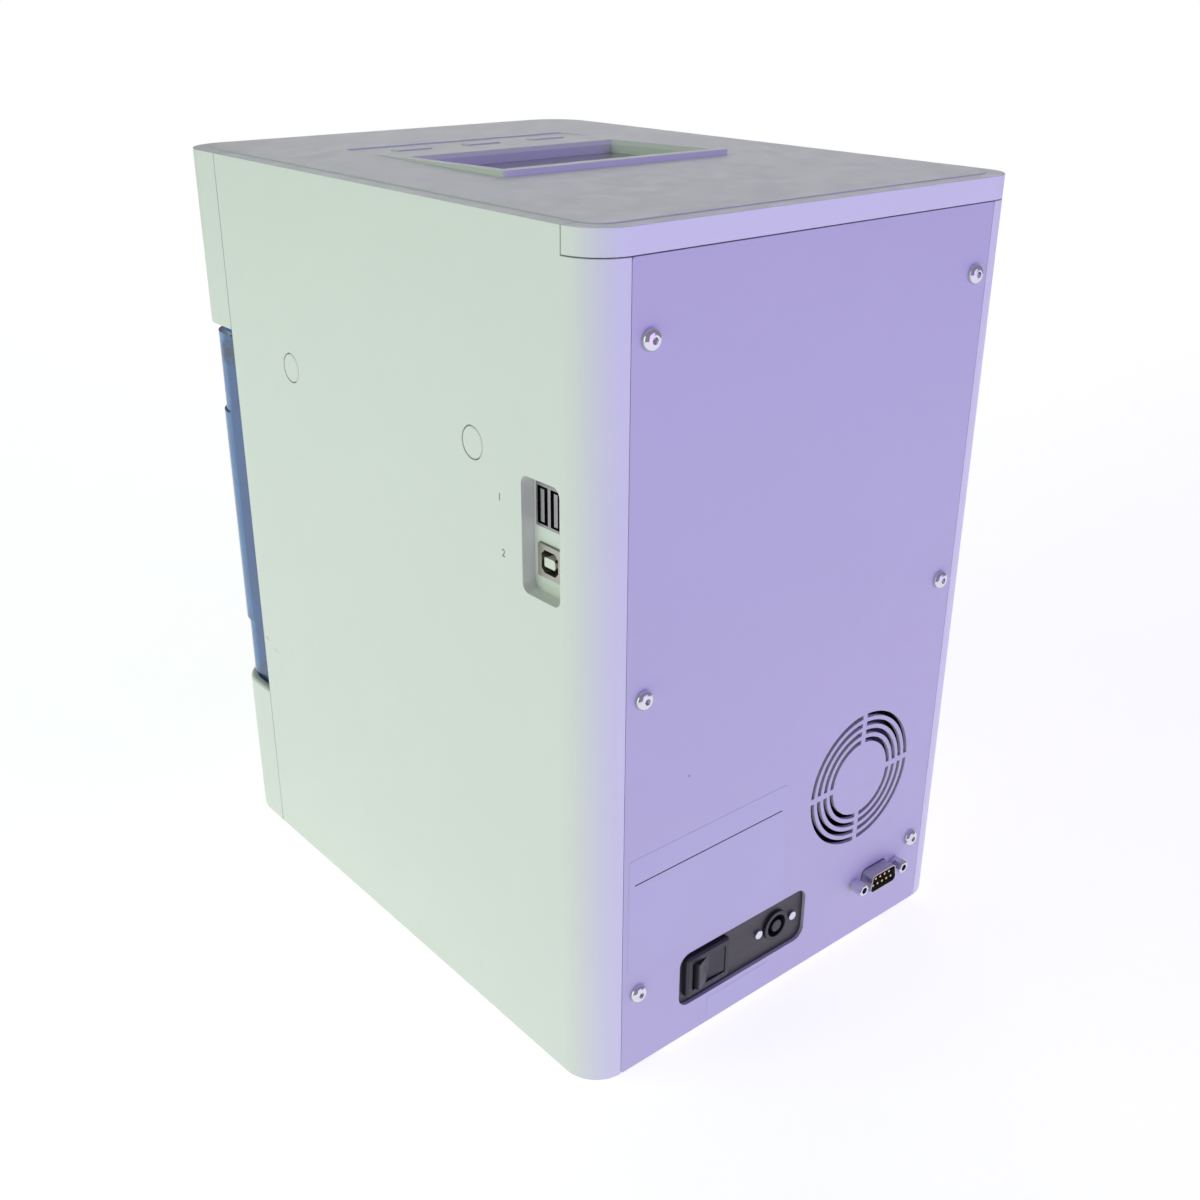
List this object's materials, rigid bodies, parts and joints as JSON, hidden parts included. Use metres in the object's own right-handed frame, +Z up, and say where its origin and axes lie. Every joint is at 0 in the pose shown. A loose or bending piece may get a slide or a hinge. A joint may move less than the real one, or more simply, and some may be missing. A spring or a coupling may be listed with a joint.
{
  "type": "automated magnetic bead purification system",
  "caption": "Bench-top magnetic bead purification instrument with a clear blue lift-up door, top screen and keys, side data ports and rear power switch and fan.",
  "frame": {"origin": "centre of the bounding box at the bottom of the feet", "axes": "+Z up, -Y towards the door at the front, +X towards the side with the data ports"},
  "size_m": [0.195, 0.2644, 0.3053],
  "materials": {
    "cover_paint": "satin",
    "panel_paint": "satin",
    "chassis_steel": "satin",
    "aluminium": "satin",
    "bright_steel": "polished",
    "screw_chrome": "polished",
    "connector_metal": "satin",
    "pin_metal": "polished",
    "magnet_metal": "satin",
    "grey_plate": "satin",
    "black_plastic": "satin",
    "motor_black": "satin",
    "circuit_board": "satin",
    "blue_door": "gloss",
    "screen_glass": "gloss",
    "rubber": "matte"
  },
  "bodies": {
    "housing": {"rubber_feet": "rubber", "base_chassis": "chassis_steel", "rear_post_left": "chassis_steel", "rear_post_right": "chassis_steel", "side_frame_left": "chassis_steel", "side_frame_right": "chassis_steel", "chamber_deck": "chassis_steel", "chamber_back_wall": "chassis_steel", "lift_frame": "aluminium", "left_side_cover": "cover_paint", "right_side_cover": "cover_paint", "top_cover": "cover_paint", "front_fascia": "cover_paint", "side_plugs": "cover_paint", "rear_panel": "panel_paint", "rear_panel_screws": "screw_chrome", "side_cover_screws": "screw_chrome", "socket_screws": "screw_chrome", "jackscrews": "connector_metal", "serial_shell": "connector_metal", "serial_insert": "black_plastic", "serial_pins": "pin_metal", "catch_magnets": "magnet_metal", "port_plate": "grey_plate", "host_port_stack": "connector_metal", "device_port": "connector_metal", "port_board": "circuit_board", "main_board": "circuit_board", "key_board": "circuit_board", "screen_glass": "screen_glass", "display_module": "black_plastic", "tray_rails": "bright_steel", "tray_motor": "motor_black", "guide_shafts": "bright_steel", "lift_motor": "motor_black", "fan_frame": "black_plastic", "power_plate": "grey_plate", "switch_housing": "black_plastic", "power_socket": "black_plastic"},
    "door": {"door": "blue_door", "door_hinge_pins": "bright_steel"},
    "tray": {"plate_tray": "aluminium", "heater_block": "aluminium"},
    "tray_screw": {"tray_screw": "bright_steel"},
    "sleeve_head": {"sleeve_carriage": "aluminium", "magnet_guides": "bright_steel", "magnet_motor": "motor_black"},
    "lift_screw": {"lift_screw": "bright_steel"},
    "magnet_head": {"magnet_carriage": "aluminium", "magnet_rods": "bright_steel"},
    "magnet_screw": {"magnet_screw": "bright_steel"},
    "fan_rotor": {"fan_rotor": "black_plastic"},
    "key_left": {"key_left": "cover_paint"},
    "key_centre": {"key_centre": "cover_paint"},
    "key_right": {"key_right": "cover_paint"},
    "rocker": {"rocker": "black_plastic"}
  },
  "joints": [
    {"name": "door_hinge", "type": "hinge", "parent": "housing", "child": "door", "pos_m": [0, -0.1158, 0.222], "axis": [-1, 0, 0], "range_deg": [0, 75]},
    {"name": "tray_slide", "type": "slide", "parent": "housing", "child": "tray", "axis": [0, 1, 0], "range_m": [0, 0.045]},
    {"name": "tray_screw_turn", "type": "hinge", "parent": "housing", "child": "tray_screw", "pos_m": [0, 0, 0.0845], "axis": [0, 1, 0], "range_deg": [0, 2030]},
    {"name": "lift_slide", "type": "slide", "parent": "housing", "child": "sleeve_head", "axis": [0, 0, -1], "range_m": [0, 0.045]},
    {"name": "lift_screw_turn", "type": "hinge", "parent": "housing", "child": "lift_screw", "pos_m": [0, 0.0162, 0.2], "axis": [0, 0, -1], "range_deg": [0, 2030]},
    {"name": "magnet_slide", "type": "slide", "parent": "sleeve_head", "child": "magnet_head", "axis": [0, 0, -1], "range_m": [0, 0.042]},
    {"name": "magnet_screw_turn", "type": "hinge", "parent": "sleeve_head", "child": "magnet_screw", "pos_m": [0, -0.0338, 0.23], "axis": [0, 0, -1], "range_deg": [0, 1895]},
    {"name": "fan_spin", "type": "hinge", "parent": "housing", "child": "fan_rotor", "pos_m": [-0.0392, 0.1167, 0.0794], "axis": [0, 1, 0], "continuous": true},
    {"name": "rocker_tilt", "type": "hinge", "parent": "housing", "child": "rocker", "pos_m": [0.0414, 0.1223, 0.0294], "axis": [0, 0, -1], "range_deg": [0, 16]},
    {"name": "key_left_press", "type": "slide", "parent": "housing", "child": "key_left", "axis": [0, 0.0239, -0.9997], "range_m": [0, 0.0008], "stiffness_N_per_m": 600, "springref_m": -0.0002},
    {"name": "key_centre_press", "type": "slide", "parent": "housing", "child": "key_centre", "axis": [0, 0.0239, -0.9997], "range_m": [0, 0.0008], "stiffness_N_per_m": 600, "springref_m": -0.0002},
    {"name": "key_right_press", "type": "slide", "parent": "housing", "child": "key_right", "axis": [0, 0.0239, -0.9997], "range_m": [0, 0.0008], "stiffness_N_per_m": 600, "springref_m": -0.0002}
  ],
  "couplings": [
    {"joint": "tray_screw_turn", "follows": "tray_slide", "rad_per_m": 785.4},
    {"joint": "lift_screw_turn", "follows": "lift_slide", "rad_per_m": 785.4},
    {"joint": "magnet_screw_turn", "follows": "magnet_slide", "rad_per_m": 785.4}
  ]
}
